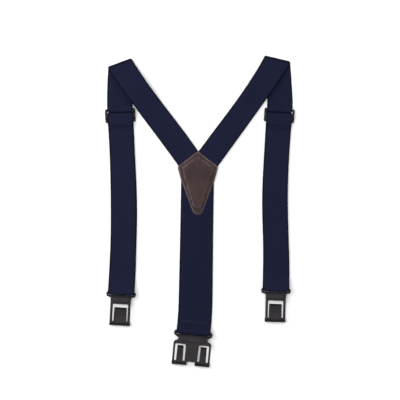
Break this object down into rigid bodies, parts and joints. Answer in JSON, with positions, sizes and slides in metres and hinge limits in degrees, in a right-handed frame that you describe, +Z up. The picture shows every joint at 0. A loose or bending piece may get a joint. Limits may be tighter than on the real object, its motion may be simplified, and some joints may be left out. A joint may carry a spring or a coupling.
{
  "type": "suspenders",
  "caption": "Y-back elastic suspenders laid out flat, with a leather back patch, sliding adjusters and belt hooks at the front and back.",
  "frame": {"origin": "centre of the footprint, on the surface that the suspenders lie on", "axes": "+X to the right as laid out, +Y towards the shoulder folds, +Z up from the surface"},
  "size_m": [0.3006, 0.4928, 0.0109],
  "materials": {
    "webbing": "woven navy elastic, ribbed, with tight selvedges",
    "back_webbing": "wide woven navy elastic, ribbed, with tight selvedges",
    "leather": "dark brown embossed leather, satin",
    "lining_leather": "dark brown split leather, matte",
    "stiffener": "dense grey felt board, matte",
    "patch_thread": "dark brown twisted thread",
    "thread": "navy twisted thread",
    "clip_plastic": "black moulded acetal, soft gloss",
    "adjuster_plastic": "black moulded plastic, soft gloss"
  },
  "bodies": {
    "root": {"patch_back": "lining_leather", "patch_front": "leather", "patch_pad": "stiffener", "patch_stitching": "patch_thread", "back_strap": "back_webbing", "left_shoulder_strap": "webbing", "left_shoulder_fold": "webbing", "right_shoulder_strap": "webbing", "right_shoulder_fold": "webbing"},
    "left_front": {"left_front_strap": "webbing"},
    "left_slider": {"left_slider": "adjuster_plastic", "left_slider_strap": "webbing", "left_slider_hem": "webbing", "left_hem_stitching": "thread"},
    "left_run": {"left_inner_run": "webbing", "left_outer_run": "webbing"},
    "left_loop": {"left_inner_end": "webbing", "left_outer_end": "webbing", "left_clip_loop": "webbing"},
    "left_clip": {"left_clip": "clip_plastic"},
    "right_front": {"right_front_strap": "webbing"},
    "right_slider": {"right_slider": "adjuster_plastic", "right_slider_strap": "webbing", "right_slider_hem": "webbing", "right_hem_stitching": "thread"},
    "right_run": {"right_inner_run": "webbing", "right_outer_run": "webbing"},
    "right_loop": {"right_inner_end": "webbing", "right_outer_end": "webbing", "right_clip_loop": "webbing"},
    "right_clip": {"right_clip": "clip_plastic"},
    "back_hem": {"back_hem": "back_webbing", "back_stitching": "thread"},
    "back_clip": {"back_clip": "clip_plastic"}
  },
  "joints": [
    {"name": "left_shoulder_fold", "type": "hinge", "parent": "root", "child": "left_front", "pos_m": [-0.1262, 0.2339, 0.002], "axis": [0.9367, 0.35, 0], "range_deg": [0, 180], "deforming": ["left_shoulder_fold"]},
    {"name": "left_adjust", "type": "slide", "parent": "left_front", "child": "left_slider", "axis": [0.0053, -1, 0], "range_m": [0, 0.36], "deforming": ["left_front_strap"]},
    {"name": "left_follow", "type": "slide", "parent": "left_slider", "child": "left_run", "axis": [0.0053, -1, 0], "range_m": [-0.18, 0], "deforming": ["left_inner_run", "left_outer_run"]},
    {"name": "left_stretch", "type": "slide", "parent": "left_run", "child": "left_loop", "axis": [0.0053, -1, 0], "range_m": [0, 0.1], "stiffness_N_per_m": 100, "deforming": ["left_inner_end", "left_outer_end"]},
    {"name": "left_clip_pivot", "type": "hinge", "parent": "left_loop", "child": "left_clip", "pos_m": [-0.1244, -0.1286, 0.0076], "axis": [0.9986, -0.0523, 0], "range_deg": [-90, 90]},
    {"name": "right_shoulder_fold", "type": "hinge", "parent": "root", "child": "right_front", "pos_m": [0.1224, 0.23952, 0.002], "axis": [0.9731, -0.2304, 0], "range_deg": [0, 180], "deforming": ["right_shoulder_fold"]},
    {"name": "right_adjust", "type": "slide", "parent": "right_front", "child": "right_slider", "axis": [-0.0196, -0.9998, 0], "range_m": [0, 0.36], "deforming": ["right_front_strap"]},
    {"name": "right_follow", "type": "slide", "parent": "right_slider", "child": "right_run", "axis": [-0.0196, -0.9998, 0], "range_m": [-0.18, 0], "deforming": ["right_inner_run", "right_outer_run"]},
    {"name": "right_stretch", "type": "slide", "parent": "right_run", "child": "right_loop", "axis": [-0.0196, -0.9998, 0], "range_m": [0, 0.1], "stiffness_N_per_m": 100, "deforming": ["right_inner_end", "right_outer_end"]},
    {"name": "right_clip_pivot", "type": "hinge", "parent": "right_loop", "child": "right_clip", "pos_m": [0.12036, -0.123, 0.0076], "axis": [0.9997, -0.0262, 0], "range_deg": [-90, 90]},
    {"name": "back_stretch", "type": "slide", "parent": "root", "child": "back_hem", "axis": [-0.0523, -0.9986, 0], "range_m": [0, 0.1], "stiffness_N_per_m": 160, "deforming": ["back_strap"]},
    {"name": "back_clip_pivot", "type": "hinge", "parent": "back_hem", "child": "back_clip", "pos_m": [-0.0101, -0.1911, 0.0076], "axis": [0.9957, -0.0924, 0], "range_deg": [-90, 90]}
  ],
  "couplings": [
    {"joint": "left_follow", "follows": "left_adjust", "ratio": -0.5},
    {"joint": "right_follow", "follows": "right_adjust", "ratio": -0.5}
  ]
}
